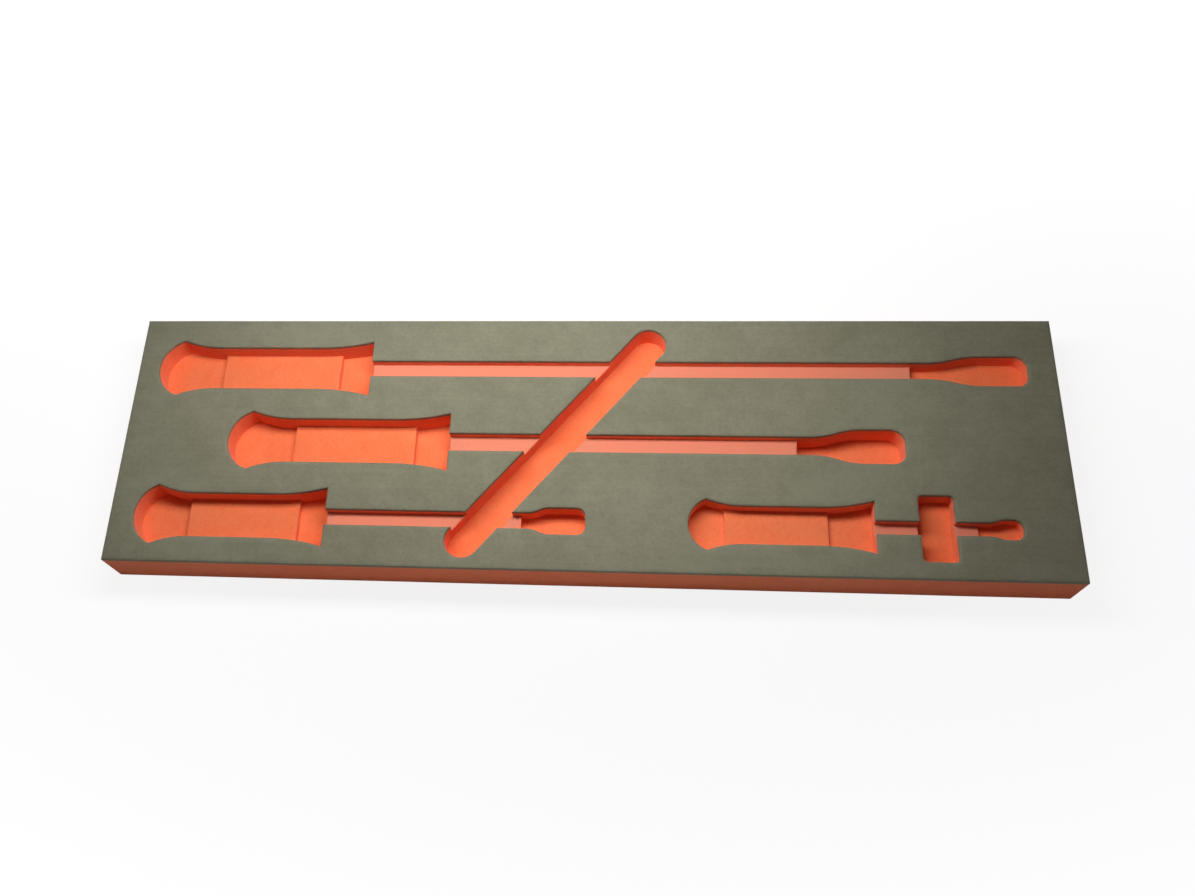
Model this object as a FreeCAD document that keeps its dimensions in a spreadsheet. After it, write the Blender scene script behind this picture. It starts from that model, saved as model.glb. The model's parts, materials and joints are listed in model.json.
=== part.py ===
import FreeCAD, Part
import math
import os
from dataclasses import dataclass

import Sketcher
from FreeCAD import Vector

# Foam tool insert for a drawer
# A dark foam skin and four cut sheets of red foam lie on a solid red slab, with a bond film under each.
# The sheets are cut right through where the bars lie, so each floor is the top of the next sheet down.
# Lengths are in millimetres. The origin is the middle of the underside, +X runs along the bars towards
# their tips, +Y towards the back edge and +Z up.

# Driving dimensions, each with the note that stands beside it in the sheet
DIMENSIONS = [
    ("top_skin_thickness", 3.0, "dark skin on top"),
    ("shaft_sheet_thickness", 4.0, "red sheet under the skin, open for every recess"),
    ("small_grip_sheet_thickness", 3.0, "red sheet below it, open for all but the shafts"),
    ("large_grip_sheet_thickness", 3.5, "red sheet below that, open for the large grips and all that lies deeper"),
    ("pommel_sheet_thickness", 5.0, "lowest cut sheet, open for the deepest floors"),
    ("bond_thickness", 0.15, "film under each sheet"),
    ("base_thickness", 15.75, "solid slab at the bottom"),
    ("left_margin", 14.8, "left edge to the longest bar's pommel"),
    ("right_margin", 18.2, "longest bar's tip to the right edge"),
    ("back_margin", 38.8, "back edge to the back bar's axis"),
    ("front_margin", 34.1, "front edge to the front bars' axis"),
    ("row_pitch", 56.55, "axis to axis of two rows"),
    ("long_start", 75.0, "left edge to the long bar's pommel"),
    ("middle_start", 16.4, "left edge to the middle bar's pommel"),
    ("short_end_margin", 34.6, "short bar's tip to the right edge"),
    ("large_handle_length", 157.6, "handle of the longest and the long bar"),
    ("large_pommel_width", 44.0, "widest place near the pommel's end"),
    ("large_dome_length", 16.0, "rounded end up to the widest place"),
    ("large_neck_length", 28.0, "widest place down to the grip"),
    ("large_grip_width", 33.1, "straight grip"),
    ("large_flare_length", 38.0, "grip out to the collar's end"),
    ("large_collar_width", 43.0, "square end at the shaft"),
    ("large_pommel_seat", 44.5, "deep floor at the pommel's end"),
    ("large_collar_seat", 25.8, "deep floor at the collar's end"),
    ("middle_handle_length", 135.1, "handle of the middle bar"),
    ("middle_pommel_width", 42.8, "widest place near the pommel's end"),
    ("middle_dome_length", 15.0, "rounded end up to the widest place"),
    ("middle_neck_length", 26.0, "widest place down to the grip"),
    ("middle_grip_width", 31.8, "straight grip"),
    ("middle_flare_length", 37.0, "grip out to the collar's end"),
    ("middle_collar_width", 42.0, "square end at the shaft"),
    ("middle_pommel_seat", 35.0, "deep floor at the pommel's end"),
    ("middle_collar_seat", 22.0, "deep floor at the collar's end"),
    ("small_handle_length", 119.4, "handle of the short bar"),
    ("small_pommel_width", 35.4, "widest place near the pommel's end"),
    ("small_dome_length", 12.0, "rounded end up to the widest place"),
    ("small_neck_length", 23.0, "widest place down to the grip"),
    ("small_grip_width", 26.3, "straight grip"),
    ("small_flare_length", 34.5, "grip out to the collar's end"),
    ("small_collar_width", 35.8, "square end at the shaft"),
    ("small_pommel_seat", 24.0, "deep floor at the pommel's end"),
    ("small_collar_seat", 28.3, "deep floor at the collar's end"),
    ("longest_shaft_length", 374.1, "collar to tip recess"),
    ("longest_shaft_width", 12.2, "channel for the shaft"),
    ("longest_tip_length", 75.3, "tip recess from end to end"),
    ("longest_tip_neck", 9.0, "stretch as narrow as the shaft"),
    ("longest_tip_widening", 36.5, "stretch over which it widens"),
    ("longest_tip_width", 22.4, "paddle"),
    ("longest_tip_corner", 8.0, "radius at the paddle's end"),
    ("long_shaft_length", 235.6, "collar to tip recess"),
    ("long_shaft_width", 13.0, "channel for the shaft"),
    ("long_tip_length", 69.4, "tip recess from end to end"),
    ("long_tip_neck", 8.3, "stretch as narrow as the shaft"),
    ("long_tip_widening", 34.0, "stretch over which it widens"),
    ("long_tip_width", 24.7, "paddle"),
    ("long_tip_corner", 9.0, "radius at the paddle's end"),
    ("middle_shaft_length", 133.3, "collar to tip recess"),
    ("middle_shaft_width", 11.1, "channel for the shaft"),
    ("middle_tip_length", 43.1, "tip recess from end to end"),
    ("middle_tip_neck", 4.5, "stretch as narrow as the shaft"),
    ("middle_tip_widening", 15.0, "stretch over which it widens"),
    ("middle_tip_width", 18.6, "paddle"),
    ("middle_tip_corner", 6.0, "radius at the paddle's end"),
    ("short_shaft_length", 64.9, "collar to tip recess"),
    ("short_shaft_width", 9.2, "channel for the shaft"),
    ("short_tip_length", 26.1, "tip recess from end to end"),
    ("short_tip_neck", 5.5, "stretch as narrow as the shaft"),
    ("short_tip_widening", 10.0, "stretch over which it widens"),
    ("short_tip_width", 13.5, "bulb"),
    ("short_tip_corner", 5.8, "radius at the bulb's end"),
    ("finger_slot_width", 24.1, "slanted slot to lift the bars by"),
    ("finger_slot_angle", 50.2, "degrees from the bars' direction"),
    ("finger_slot_centre", 307.7, "left edge to the slot's middle"),
    ("finger_slot_margin", 7.4, "slot's ends to the long edges"),
    ("finger_notch_gap", 27.3, "short bar's collar to the notch"),
    ("finger_notch_width", 22.6, "along the short bar"),
    ("finger_notch_length", 45.0, "across the short bar"),
    ("finger_notch_corner", 3.0, "radius of its four corners"),
    ("cutter_overshoot", 2.0, "how far a recess's shape stands past what it cuts"),
]

# Overall sizes and rows, worked out from the sizes sheet
TRAY_LENGTH = (
    "(sizes.left_margin + sizes.large_handle_length + sizes.longest_shaft_length"
    " + sizes.longest_tip_length + sizes.right_margin)"
)
TRAY_WIDTH = "(sizes.front_margin + 2 * sizes.row_pitch + sizes.back_margin)"
LEFT_EDGE = f"(-{TRAY_LENGTH} / 2)"
RIGHT_EDGE = f"({TRAY_LENGTH} / 2)"
FRONT_EDGE = f"(-{TRAY_WIDTH} / 2)"
FRONT_ROW = f"({FRONT_EDGE} + sizes.front_margin)"
MIDDLE_ROW = f"({FRONT_ROW} + sizes.row_pitch)"
BACK_ROW = f"({MIDDLE_ROW} + sizes.row_pitch)"
SHORT_BAR_LENGTH = "(sizes.small_handle_length + sizes.short_shaft_length + sizes.short_tip_length)"

# Heights of the floors that the cut sheets leave, from the deepest up
POMMEL_FLOOR = "sizes.base_thickness"
LARGE_GRIP_FLOOR = f"({POMMEL_FLOOR} + sizes.bond_thickness + sizes.pommel_sheet_thickness)"
SMALL_GRIP_FLOOR = f"({LARGE_GRIP_FLOOR} + sizes.bond_thickness + sizes.large_grip_sheet_thickness)"
SHAFT_FLOOR = f"({SMALL_GRIP_FLOOR} + sizes.bond_thickness + sizes.small_grip_sheet_thickness)"
SKIN_BOTTOM = f"({SHAFT_FLOOR} + sizes.bond_thickness + sizes.shaft_sheet_thickness)"
TRAY_TOP = f"({SKIN_BOTTOM} + sizes.bond_thickness + sizes.top_skin_thickness)"

# How a sketch names its origin, its axes and the ends of an edge
ORIGIN = (-1, 1)
ACROSS_AXIS = -2
ALONG_AXIS = -1
START, END, CENTRE = 1, 2, 3


@dataclass(frozen=True)
class Bar:
    """One bar's recess: where it starts and the floors under its grip, its pommel and collar, and its tip."""

    name: str
    handle: str
    start: str
    row: str
    grip_floor: str
    seat_floor: str
    tip_floor: str

    @property
    def handle_end(self):
        """Expression for where the shaft leaves the handle."""
        return f"({self.start} + sizes.{self.handle}_handle_length)"

    @property
    def shaft_end(self):
        """Expression for where the shaft's channel meets the tip's recess."""
        return f"({self.handle_end} + sizes.{self.name}_shaft_length)"


LONGEST_START = f"({LEFT_EDGE} + sizes.left_margin)"
LONG_START = f"({LEFT_EDGE} + sizes.long_start)"
MIDDLE_START = f"({LEFT_EDGE} + sizes.middle_start)"
SHORT_START = f"({RIGHT_EDGE} - sizes.short_end_margin - {SHORT_BAR_LENGTH})"
BARS = [
    Bar("longest", "large", LONGEST_START, BACK_ROW, LARGE_GRIP_FLOOR, POMMEL_FLOOR, LARGE_GRIP_FLOOR),
    Bar("long", "large", LONG_START, MIDDLE_ROW, LARGE_GRIP_FLOOR, POMMEL_FLOOR, POMMEL_FLOOR),
    Bar("middle", "middle", MIDDLE_START, FRONT_ROW, LARGE_GRIP_FLOOR, POMMEL_FLOOR, LARGE_GRIP_FLOOR),
    Bar("short", "small", SHORT_START, FRONT_ROW, SMALL_GRIP_FLOOR, LARGE_GRIP_FLOOR, SMALL_GRIP_FLOOR),
]

doc = FreeCAD.newDocument("foam_tool_insert")
sizes = doc.addObject("Spreadsheet::Sheet", "sizes")
for line, (alias, number, note) in enumerate(DIMENSIONS, start=1):
    sizes.set(f"A{line}", alias)
    sizes.set(f"B{line}", str(number))
    sizes.set(f"C{line}", note)
    sizes.setAlias(f"B{line}", alias)
doc.recompute()


def value(rule):
    """Give the number that an expression comes to."""
    return float(sizes.evalExpression(rule))


def reach(floor):
    """Give the expression for a recess's height, from its floor to clear of the top."""
    return f"({TRAY_TOP} - {floor} + sizes.cutter_overshoot)"


def place(item, along, across, height):
    """Tie an object's place to three expressions."""
    item.setExpression("Placement.Base.x", along)
    item.setExpression("Placement.Base.y", across)
    item.setExpression("Placement.Base.z", height)


def add_box(name, length, width, height):
    """Add a box whose three sizes follow expressions."""
    box = doc.addObject("Part::Box", name)
    box.setExpression("Length", length)
    box.setExpression("Width", width)
    box.setExpression("Height", height)
    return box


def add_sketch(body, name):
    """Add a sketch on the body's own horizontal plane."""
    sketch = body.newObject("Sketcher::SketchObject", name)
    plane = next(item for item in body.Origin.OriginFeatures if item.Role == "XY_Plane")
    sketch.AttachmentSupport = [(plane, "")]
    sketch.MapMode = "FlatFace"
    return sketch


def add_pad(body, sketch, height):
    """Extrude a sketch upwards by an expression."""
    pad = body.newObject("PartDesign::Pad", f"{body.Name}_pad")
    pad.Profile = sketch
    pad.setExpression("Length", height)
    return pad


def add_line(sketch, start, end):
    """Add a straight edge and return its number in the sketch."""
    return sketch.addGeometry(Part.LineSegment(Vector(*start, 0), Vector(*end, 0)), False)


def add_arc(sketch, start, end, radius):
    """Add the arc that turns left from start to end, at most a half turn, and return its number."""
    chord = Vector(end[0] - start[0], end[1] - start[1], 0)
    middle = Vector(start[0] + end[0], start[1] + end[1], 0) / 2
    offset = math.sqrt(max(radius**2 - chord.Length**2 / 4, 0))
    centre = middle + Vector(-chord.y, chord.x, 0) * (offset / chord.Length)
    first = math.atan2(start[1] - centre.y, start[0] - centre.x)
    last = math.atan2(end[1] - centre.y, end[0] - centre.x)
    circle = Part.Circle(centre, Vector(0, 0, 1), radius)
    return sketch.addGeometry(Part.ArcOfCircle(circle, first, last), False)


def join(sketch, kind, one, other):
    """Join two edges' ends, Coincident with a corner or Tangent with a smooth run."""
    sketch.addConstraint(Sketcher.Constraint(kind, *one, *other))


def mirror(sketch, upper, lower):
    """Hold two edges' ends symmetric about the sketch's long axis."""
    sketch.addConstraint(Sketcher.Constraint("Symmetric", *upper, *lower, ALONG_AXIS))


def dimension(sketch, name, kind, ends, rule):
    """Add a named dimension that follows an expression."""
    index = sketch.addConstraint(Sketcher.Constraint(kind, *ends, value(rule)))
    sketch.renameConstraint(index, name)
    sketch.setExpression(f"Constraints.{name}", rule)


def draw_handle(sketch, handle):
    """Draw a handle from above: domed pommel, neck, straight grip, and a flare out to a square collar."""
    length = value(f"sizes.{handle}_handle_length")
    dome = value(f"sizes.{handle}_dome_length")
    neck = value(f"sizes.{handle}_neck_length")
    flare = value(f"sizes.{handle}_flare_length")
    pommel = value(f"sizes.{handle}_pommel_width") / 2
    grip = value(f"sizes.{handle}_grip_width") / 2
    collar = value(f"sizes.{handle}_collar_width") / 2
    neck_end = dome + neck
    flare_start = length - flare
    dome_radius = (dome**2 + pommel**2) / (2 * dome)
    neck_radius = (neck**2 + (pommel - grip) ** 2) / (2 * (pommel - grip))
    flare_radius = (flare**2 + (collar - grip) ** 2) / (2 * (collar - grip))

    neck_back = add_arc(sketch, (dome, pommel), (neck_end, grip), neck_radius)
    grip_back = add_line(sketch, (neck_end, grip), (flare_start, grip))
    flare_back = add_arc(sketch, (flare_start, grip), (length, collar), flare_radius)
    collar_end = add_line(sketch, (length, collar), (length, -collar))
    flare_front = add_arc(sketch, (length, -collar), (flare_start, -grip), flare_radius)
    grip_front = add_line(sketch, (flare_start, -grip), (neck_end, -grip))
    neck_front = add_arc(sketch, (neck_end, -grip), (dome, -pommel), neck_radius)
    dome_end = add_arc(sketch, (dome, pommel), (dome, -pommel), dome_radius)

    join(sketch, "Tangent", (neck_back, END), (grip_back, START))
    join(sketch, "Tangent", (grip_back, END), (flare_back, START))
    join(sketch, "Coincident", (flare_back, END), (collar_end, START))
    join(sketch, "Coincident", (collar_end, END), (flare_front, START))
    join(sketch, "Tangent", (flare_front, END), (grip_front, START))
    join(sketch, "Tangent", (grip_front, END), (neck_front, START))
    join(sketch, "Coincident", (neck_front, END), (dome_end, END))
    join(sketch, "Coincident", (dome_end, START), (neck_back, START))
    sketch.addConstraint(Sketcher.Constraint("PointOnObject", *ORIGIN, dome_end))
    sketch.addConstraint(Sketcher.Constraint("Horizontal", grip_back))
    mirror(sketch, (neck_back, START), (neck_front, END))
    mirror(sketch, (grip_back, START), (grip_front, END))
    mirror(sketch, (grip_back, END), (grip_front, START))
    mirror(sketch, (collar_end, START), (collar_end, END))

    widest = (neck_back, START)
    collar_corner = (collar_end, START)
    dimension(sketch, "dome", "DistanceX", ORIGIN + widest, f"sizes.{handle}_dome_length")
    dimension(sketch, "neck", "DistanceX", widest + (neck_back, END), f"sizes.{handle}_neck_length")
    dimension(sketch, "flare", "DistanceX", (grip_back, END) + collar_corner, f"sizes.{handle}_flare_length")
    dimension(sketch, "length", "DistanceX", ORIGIN + collar_corner, f"sizes.{handle}_handle_length")
    dimension(sketch, "pommel", "DistanceY", (neck_front, END) + widest, f"sizes.{handle}_pommel_width")
    dimension(sketch, "grip", "DistanceY", (grip_front, END, grip_back, START), f"sizes.{handle}_grip_width")
    dimension(sketch, "collar", "DistanceY", (collar_end, END) + collar_corner, f"sizes.{handle}_collar_width")


def draw_tip(sketch, bar):
    """Draw a tip from above: a neck as wide as the shaft that widens to a paddle with a rounded end."""
    corner_rule = f"min(sizes.{bar}_tip_corner; 0.45 * sizes.{bar}_tip_width)"
    length = value(f"sizes.{bar}_tip_length")
    neck = value(f"sizes.{bar}_tip_neck")
    widening = value(f"sizes.{bar}_tip_widening")
    narrow = value(f"sizes.{bar}_shaft_width") / 2
    wide = value(f"sizes.{bar}_tip_width") / 2
    corner = value(corner_rule)
    crest = neck + widening
    bend_radius = (widening**2 + (wide - narrow) ** 2) / (4 * (wide - narrow))
    bend_back = (neck + widening / 2, (wide + narrow) / 2)
    bend_front = (bend_back[0], -bend_back[1])

    neck_back = add_line(sketch, (0, narrow), (neck, narrow))
    rise_back = add_arc(sketch, (neck, narrow), bend_back, bend_radius)
    crest_back = add_arc(sketch, (crest, wide), bend_back, bend_radius)
    side_back = add_line(sketch, (crest, wide), (length - corner, wide))
    corner_back = add_arc(sketch, (length, wide - corner), (length - corner, wide), corner)
    far_end = add_line(sketch, (length, wide - corner), (length, corner - wide))
    corner_front = add_arc(sketch, (length - corner, -wide), (length, corner - wide), corner)
    side_front = add_line(sketch, (length - corner, -wide), (crest, -wide))
    crest_front = add_arc(sketch, bend_front, (crest, -wide), bend_radius)
    rise_front = add_arc(sketch, bend_front, (neck, -narrow), bend_radius)
    neck_front = add_line(sketch, (neck, -narrow), (0, -narrow))
    near_end = add_line(sketch, (0, -narrow), (0, narrow))

    join(sketch, "Tangent", (neck_back, END), (rise_back, START))
    join(sketch, "Tangent", (rise_back, END), (crest_back, END))
    join(sketch, "Tangent", (crest_back, START), (side_back, START))
    join(sketch, "Tangent", (side_back, END), (corner_back, END))
    join(sketch, "Tangent", (corner_back, START), (far_end, START))
    join(sketch, "Coincident", (far_end, END), (corner_front, END))
    join(sketch, "Tangent", (corner_front, START), (side_front, START))
    join(sketch, "Tangent", (side_front, END), (crest_front, END))
    join(sketch, "Coincident", (crest_front, START), (rise_front, START))
    join(sketch, "Tangent", (rise_front, END), (neck_front, START))
    join(sketch, "Coincident", (neck_front, END), (near_end, START))
    join(sketch, "Coincident", (near_end, END), (neck_back, START))
    sketch.addConstraint(Sketcher.Constraint("Horizontal", neck_back))
    sketch.addConstraint(Sketcher.Constraint("Horizontal", side_back))
    sketch.addConstraint(Sketcher.Constraint("Equal", rise_back, crest_back))
    sketch.addConstraint(Sketcher.Constraint("PointOnObject", near_end, END, ACROSS_AXIS))
    mirror(sketch, (near_end, END), (near_end, START))
    mirror(sketch, (neck_back, END), (neck_front, START))
    mirror(sketch, (rise_back, END), (rise_front, START))
    mirror(sketch, (side_back, START), (side_front, END))
    mirror(sketch, (side_back, END), (side_front, START))
    mirror(sketch, (far_end, START), (far_end, END))

    neck_ends = (neck_back, START, neck_back, END)
    crest_ends = (neck_back, END, side_back, START)
    tip_ends = (neck_back, START, far_end, START)
    dimension(sketch, "narrow", "DistanceY", (near_end, START, near_end, END), f"sizes.{bar}_shaft_width")
    dimension(sketch, "neck", "DistanceX", neck_ends, f"sizes.{bar}_tip_neck")
    dimension(sketch, "widening", "DistanceX", crest_ends, f"sizes.{bar}_tip_widening")
    dimension(sketch, "length", "DistanceX", tip_ends, f"sizes.{bar}_tip_length")
    dimension(sketch, "width", "DistanceY", (side_front, END, side_back, START), f"sizes.{bar}_tip_width")
    dimension(sketch, "corner", "Radius", (corner_back,), corner_rule)


def draw_slot(sketch, length_rule, radius_rule):
    """Draw a slot with half-round ends along the sketch's X axis, centred on its origin."""
    half = value(length_rule) / 2
    radius = value(radius_rule)
    back = add_line(sketch, (-half, radius), (half, radius))
    right = add_arc(sketch, (half, -radius), (half, radius), radius)
    front = add_line(sketch, (half, -radius), (-half, -radius))
    left = add_arc(sketch, (-half, radius), (-half, -radius), radius)
    join(sketch, "Tangent", (back, END), (right, END))
    join(sketch, "Tangent", (right, START), (front, START))
    join(sketch, "Tangent", (front, END), (left, END))
    join(sketch, "Tangent", (left, START), (back, START))
    sketch.addConstraint(Sketcher.Constraint("Equal", left, right))
    sketch.addConstraint(Sketcher.Constraint("Horizontal", back))
    sketch.addConstraint(Sketcher.Constraint("Symmetric", left, CENTRE, right, CENTRE, *ORIGIN))
    dimension(sketch, "length", "DistanceX", (left, CENTRE, right, CENTRE), length_rule)
    dimension(sketch, "radius", "Radius", (right,), radius_rule)


def draw_rectangle(sketch, start_rule, length_rule, width_rule):
    """Draw a rectangle that is centred on the sketch's X axis and starts some way along it."""
    start = value(start_rule)
    end = start + value(length_rule)
    half = value(width_rule) / 2
    back = add_line(sketch, (start, half), (end, half))
    right = add_line(sketch, (end, half), (end, -half))
    front = add_line(sketch, (end, -half), (start, -half))
    left = add_line(sketch, (start, -half), (start, half))
    join(sketch, "Coincident", (back, END), (right, START))
    join(sketch, "Coincident", (right, END), (front, START))
    join(sketch, "Coincident", (front, END), (left, START))
    join(sketch, "Coincident", (left, END), (back, START))
    sketch.addConstraint(Sketcher.Constraint("Horizontal", back))
    mirror(sketch, (left, END), (left, START))
    mirror(sketch, (right, START), (right, END))
    dimension(sketch, "start", "DistanceX", ORIGIN + (back, START), start_rule)
    dimension(sketch, "length", "DistanceX", (back, START, back, END), length_rule)
    dimension(sketch, "width", "DistanceY", (left, START, left, END), width_rule)


def handle_recess(bar):
    """Make the space that a handle lies in, with a raised floor under the grip."""
    body = doc.addObject("PartDesign::Body", f"{bar.name}_handle_recess")
    outline = add_sketch(body, f"{bar.name}_handle_outline")
    draw_handle(outline, bar.handle)
    pad = add_pad(body, outline, reach(bar.seat_floor))
    doc.recompute()

    handle = f"sizes.{bar.handle}"
    grip_stretch = f"{handle}_handle_length - {handle}_pommel_seat - {handle}_collar_seat"
    grip_floor = add_sketch(body, f"{bar.name}_grip_floor")
    draw_rectangle(
        grip_floor, f"{handle}_pommel_seat", grip_stretch, f"{handle}_pommel_width + sizes.cutter_overshoot"
    )
    step = body.newObject("PartDesign::Pocket", f"{bar.name}_grip_step")
    step.Profile = grip_floor
    step.Reversed = True
    step.setExpression("Length", f"{bar.grip_floor} - {bar.seat_floor}")
    place(body, bar.start, bar.row, bar.seat_floor)
    doc.recompute()
    if body.Shape.Volume >= pad.Shape.Volume:
        raise RuntimeError(f"{step.Name} takes nothing away")
    return body


def shaft_recess(bar):
    """Make the narrow channel that a shaft lies in, from the collar to the tip."""
    width = f"sizes.{bar.name}_shaft_width"
    channel = add_box(f"{bar.name}_shaft_recess", f"sizes.{bar.name}_shaft_length", width, reach(SHAFT_FLOOR))
    place(channel, bar.handle_end, f"{bar.row} - {width} / 2", SHAFT_FLOOR)
    return channel


def tip_recess(bar):
    """Make the deeper space that a tip lies in."""
    body = doc.addObject("PartDesign::Body", f"{bar.name}_tip_recess")
    outline = add_sketch(body, f"{bar.name}_tip_outline")
    draw_tip(outline, bar.name)
    add_pad(body, outline, reach(bar.tip_floor))
    place(body, bar.shaft_end, bar.row, bar.tip_floor)
    return body


def slot_recess():
    """Make the slanted finger slot that crosses the three longer shafts."""
    angle = "sizes.finger_slot_angle * 1 deg"
    across = f"({TRAY_WIDTH} - 2 * sizes.finger_slot_margin - sizes.finger_slot_width)"
    body = doc.addObject("PartDesign::Body", "finger_slot_recess")
    outline = add_sketch(body, "finger_slot_outline")
    draw_slot(outline, f"{across} / sin({angle})", "sizes.finger_slot_width / 2")
    add_pad(body, outline, reach(POMMEL_FLOOR))
    place(body, f"{LEFT_EDGE} + sizes.finger_slot_centre", "0", POMMEL_FLOOR)
    body.setExpression("Placement.Rotation.Angle", angle)
    return body


def notch_recess(bar):
    """Make the finger notch that crosses the short bar's shaft."""
    body = doc.addObject("PartDesign::Body", "finger_notch_recess")
    outline = add_sketch(body, "finger_notch_outline")
    draw_rectangle(
        outline, "sizes.finger_notch_gap", "sizes.finger_notch_width", "sizes.finger_notch_length"
    )
    pad = add_pad(body, outline, reach(LARGE_GRIP_FLOOR))
    doc.recompute()

    upright = [
        f"Edge{number}"
        for number, edge in enumerate(pad.Shape.Edges, start=1)
        if abs(edge.Vertexes[0].Z - edge.Vertexes[-1].Z) > sizes.cutter_overshoot
    ]
    corners = body.newObject("PartDesign::Fillet", "finger_notch_corners")
    corners.Base = (pad, upright)
    corners.setExpression("Radius", "sizes.finger_notch_corner")
    place(body, bar.handle_end, bar.row, LARGE_GRIP_FLOOR)
    return body


def add_layer(name, bottom, thickness):
    """Add one sheet or film over the whole tray."""
    layer = add_box(name, TRAY_LENGTH, TRAY_WIDTH, thickness)
    place(layer, LEFT_EDGE, FRONT_EDGE, bottom)
    return layer


def add_cut_sheet(name, bottom, recesses):
    """Add a sheet with the bond film under it, both open wherever a recess goes through them."""
    film_name = f"{name}_bond_film"
    film = add_layer(f"{name}_film_blank", bottom, "sizes.bond_thickness")
    sheet = add_layer(f"{name}_blank", f"{bottom} + sizes.bond_thickness", f"sizes.{name}_thickness")
    pieces = []
    for label, blank in ((film_name, film), (name, sheet)):
        piece = doc.addObject("Part::Cut", label)
        piece.Base = blank
        piece.Tool = recesses
        piece.Refine = True
        pieces.append(piece)
    return pieces


recess_shapes = [slot_recess(), notch_recess(BARS[-1])]
for bar in BARS:
    recess_shapes += [handle_recess(bar), shaft_recess(bar), tip_recess(bar)]
recesses = doc.addObject("Part::MultiFuse", "all_recesses")
recesses.Shapes = recess_shapes
recesses.Refine = True

subparts = [add_layer("base_slab", "0", "sizes.base_thickness")]
subparts += add_cut_sheet("pommel_sheet", POMMEL_FLOOR, recesses)
subparts += add_cut_sheet("large_grip_sheet", LARGE_GRIP_FLOOR, recesses)
subparts += add_cut_sheet("small_grip_sheet", SMALL_GRIP_FLOOR, recesses)
subparts += add_cut_sheet("shaft_sheet", SHAFT_FLOOR, recesses)
subparts += add_cut_sheet("top_skin", SKIN_BOTTOM, recesses)
doc.recompute()

# Nothing is written unless every object came out sound
for item in doc.Objects:
    if "Invalid" in item.State or "Error" in item.State:
        raise RuntimeError(f"{item.Label} failed: {item.State}")
for item in subparts:
    if item.Shape.isNull() or not item.Shape.isValid() or len(item.Shape.Solids) != 1:
        raise RuntimeError(f"{item.Label} isn't one sound solid")

os.makedirs("parts", exist_ok=True)
for item in subparts:
    item.Shape.exportStep(f"parts/{item.Label}.step")
    box = item.Shape.BoundBox
    print(f"{item.Label}: {item.Shape.Volume:.1f} mm3, z {box.ZMin:.2f} to {box.ZMax:.2f}")
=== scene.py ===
"""Foam tool insert: a dark skin over red foam, cut out for four bars and for the fingers that lift them.

Lengths are in metres. The origin is the middle of the underside, +X runs along the bars towards their tips,
+Y towards the back edge and +Z up.
"""

import json
import logging
import math
from dataclasses import dataclass, field, replace
from enum import Enum

import bmesh
import bpy
import numpy as np
from mathutils import Matrix, Vector, kdtree
from mathutils.geometry import delaunay_2d_cdt

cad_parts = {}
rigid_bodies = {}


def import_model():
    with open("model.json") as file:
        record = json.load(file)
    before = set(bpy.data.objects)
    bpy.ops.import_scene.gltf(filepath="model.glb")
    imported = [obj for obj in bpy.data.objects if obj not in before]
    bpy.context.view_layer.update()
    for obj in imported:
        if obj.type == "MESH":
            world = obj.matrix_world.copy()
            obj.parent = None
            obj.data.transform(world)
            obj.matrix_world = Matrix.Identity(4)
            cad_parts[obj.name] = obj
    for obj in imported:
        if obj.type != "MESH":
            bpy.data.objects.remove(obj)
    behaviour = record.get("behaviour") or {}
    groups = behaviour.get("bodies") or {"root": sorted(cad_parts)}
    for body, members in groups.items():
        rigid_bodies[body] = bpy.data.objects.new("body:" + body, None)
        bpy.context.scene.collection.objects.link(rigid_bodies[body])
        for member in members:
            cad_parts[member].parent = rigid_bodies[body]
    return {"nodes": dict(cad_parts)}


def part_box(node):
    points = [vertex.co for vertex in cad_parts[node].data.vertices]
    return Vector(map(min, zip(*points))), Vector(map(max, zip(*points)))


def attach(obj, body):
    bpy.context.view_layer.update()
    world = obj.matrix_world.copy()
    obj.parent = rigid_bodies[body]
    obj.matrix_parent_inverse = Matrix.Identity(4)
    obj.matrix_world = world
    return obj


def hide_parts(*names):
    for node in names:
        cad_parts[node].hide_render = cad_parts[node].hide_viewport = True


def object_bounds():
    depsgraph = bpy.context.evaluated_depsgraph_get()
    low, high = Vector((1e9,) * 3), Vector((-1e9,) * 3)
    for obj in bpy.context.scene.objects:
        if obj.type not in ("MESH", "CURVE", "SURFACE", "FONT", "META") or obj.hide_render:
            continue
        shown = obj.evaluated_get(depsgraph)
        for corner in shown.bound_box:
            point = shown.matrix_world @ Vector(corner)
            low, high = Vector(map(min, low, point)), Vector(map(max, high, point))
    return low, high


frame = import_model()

SOLIDS_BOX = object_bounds()
MM = 0.001
UNIT = (0.0, 1.0)
WHITE = (1.0, 1.0, 1.0, 1.0)
PICTURE_WIDTH = 1195
LOG = logging.getLogger("foam_tool_insert")

Pair = tuple[float, float]
Triple = tuple[float, float, float]
Colour = Triple
Place = Triple
Output = bpy.types.NodeSocket
Outputs = bpy.types.NodeOutputs


class Socket(Enum):
    """The kinds of named input that the sheets' node tree has."""

    GEOMETRY = "NodeSocketGeometry"
    NUMBER = "NodeSocketFloat"
    COUNT = "NodeSocketInt"
    FINISH = "NodeSocketMaterial"


class Slot(Enum):
    """The record's material slots."""

    DARK_FOAM = "dark_foam"
    RED_FOAM = "red_foam"
    BOND_FILM = "bond_film"


class Lip(Enum):
    """How a sheet's upper edge is finished where nothing covers it."""

    SKIN = "skin"
    STEP = "step"
    FLUSH = "flush"


class Side(Enum):
    """The insert's four sides, each with its direction along X and Y."""

    FRONT = (0, -1)
    BACK = (0, 1)
    LEFT = (-1, 0)
    RIGHT = (1, 0)


@dataclass(frozen=True)
class LipShape:
    """The form of a free upper edge and of the face beside it.

    Attributes:
        radius: Radius of the edge.
        sink: How far the face sinks beside it.
        relief: Height of the face's slow waves.
    """

    radius: float
    sink: float
    relief: float


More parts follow.
